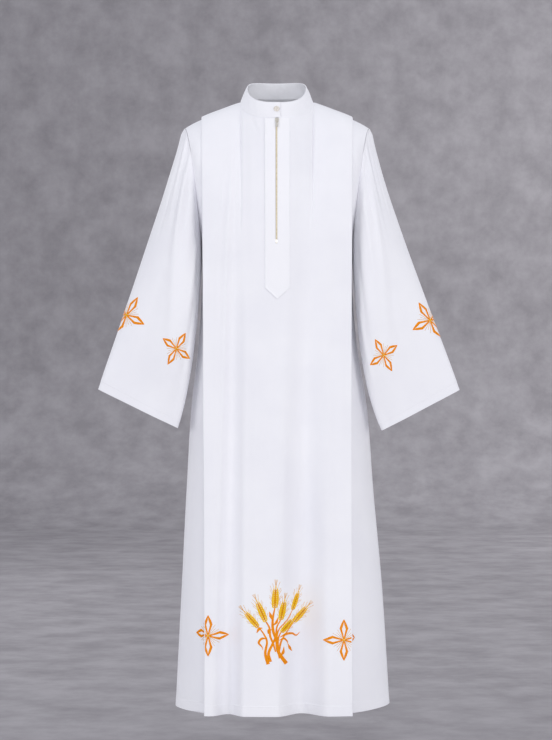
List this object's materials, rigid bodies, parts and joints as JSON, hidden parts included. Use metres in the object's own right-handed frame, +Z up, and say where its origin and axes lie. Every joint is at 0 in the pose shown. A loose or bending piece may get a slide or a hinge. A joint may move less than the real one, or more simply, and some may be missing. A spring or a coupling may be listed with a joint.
{
  "type": "alb robe",
  "caption": "Ankle-length alb robe in worn, hollow form: wide hanging sleeves, stand collar with button, neck zip and pressed pleats over open side panels.",
  "frame": {"origin": "neck base, midway between the two points where the collar meets the shoulder seams", "axes": "+Z up, -Y the robe's front, +X the side on the right of someone who faces the front"},
  "size_m": [0.9024, 0.3496, 1.5765],
  "materials": {
    "white_cloth": "matt plain weave",
    "zip_tape": "matt woven tape",
    "zip_coil": "satin",
    "nickel": "polished",
    "pearl": "pearly gloss"
  },
  "bodies": {
    "garment": {"front": "white_cloth", "back": "white_cloth", "sleeve_left": "white_cloth", "sleeve_right": "white_cloth", "collar": "white_cloth", "placket": "white_cloth", "zip_tape_left": "zip_tape", "zip_tape_right": "zip_tape", "zip_coil": "zip_coil", "zip_stop": "nickel", "zip_slider": "nickel", "collar_button": "pearl"},
    "pull_tab": {"zip_pull_tab": "nickel"}
  },
  "joints": [
    {"name": "pull_tab_swing", "type": "hinge", "parent": "garment", "child": "pull_tab", "pos_m": [0, -0.08844, -0.05242], "axis": [-1, 0, 0], "range_deg": [0, 160]}
  ]
}
